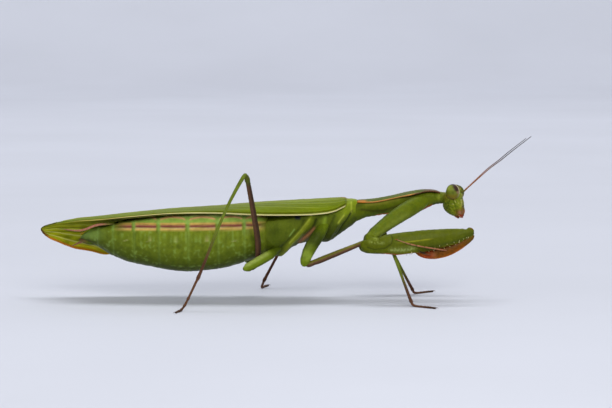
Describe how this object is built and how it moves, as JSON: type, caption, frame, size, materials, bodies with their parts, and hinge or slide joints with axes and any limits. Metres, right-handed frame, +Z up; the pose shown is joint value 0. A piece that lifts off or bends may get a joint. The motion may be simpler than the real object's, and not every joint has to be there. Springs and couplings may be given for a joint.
{
  "type": "european mantis, life-size still model",
  "caption": "Green praying mantis, a gravid female standing at rest with folded wings and forelegs drawn in, as a life-size still model.",
  "frame": {"origin": "middle of the model's box in X and Y, on the floor that the feet stand on", "axes": "+X towards the head, along the body, the longest side; +Y to the animal's left; +Z up"},
  "size_m": [0.081, 0.0404, 0.0276],
  "materials": {
    "body_green": "satin",
    "abdomen_green": "satin",
    "wing": "satin",
    "hindwing": "satin",
    "eye": "gloss",
    "leg_green": "satin",
    "leg_orange": "satin",
    "leg_brown": "satin",
    "feeler": "satin",
    "mouth": "satin"
  },
  "bodies": {
    "root": {"head": "body_green", "eye_right": "eye", "eye_left": "eye", "antenna_right": "feeler", "antenna_left": "feeler", "mouthparts": "mouth", "neck": "body_green", "prothorax": "body_green", "mesothorax": "body_green", "metathorax": "body_green", "abdomen_front": "abdomen_green", "abdomen_rear": "abdomen_green", "abdomen_tip": "abdomen_green", "cercus_right": "feeler", "cercus_left": "feeler", "tegmen_right": "wing", "tegmen_left": "wing", "hindwing_right": "hindwing", "hindwing_left": "hindwing", "fore_coxa_right": "leg_green", "fore_coxa_left": "leg_green", "fore_femur_right": "leg_green", "fore_femur_left": "leg_green", "fore_tibia_right": "leg_orange", "fore_tibia_left": "leg_orange", "fore_tarsus_right": "feeler", "fore_tarsus_left": "feeler", "mid_coxa_right": "leg_green", "mid_coxa_left": "leg_green", "mid_femur_right": "leg_brown", "mid_femur_left": "leg_brown", "mid_tibia_right": "leg_brown", "mid_tibia_left": "leg_brown", "mid_tarsus_right": "leg_brown", "mid_tarsus_left": "leg_brown", "hind_coxa_right": "leg_green", "hind_coxa_left": "leg_green", "hind_femur_right": "leg_brown", "hind_femur_left": "leg_brown", "hind_tibia_right": "leg_brown", "hind_tibia_left": "leg_brown", "hind_tarsus_right": "leg_brown", "hind_tarsus_left": "leg_brown"}
  },
  "joints": []
}
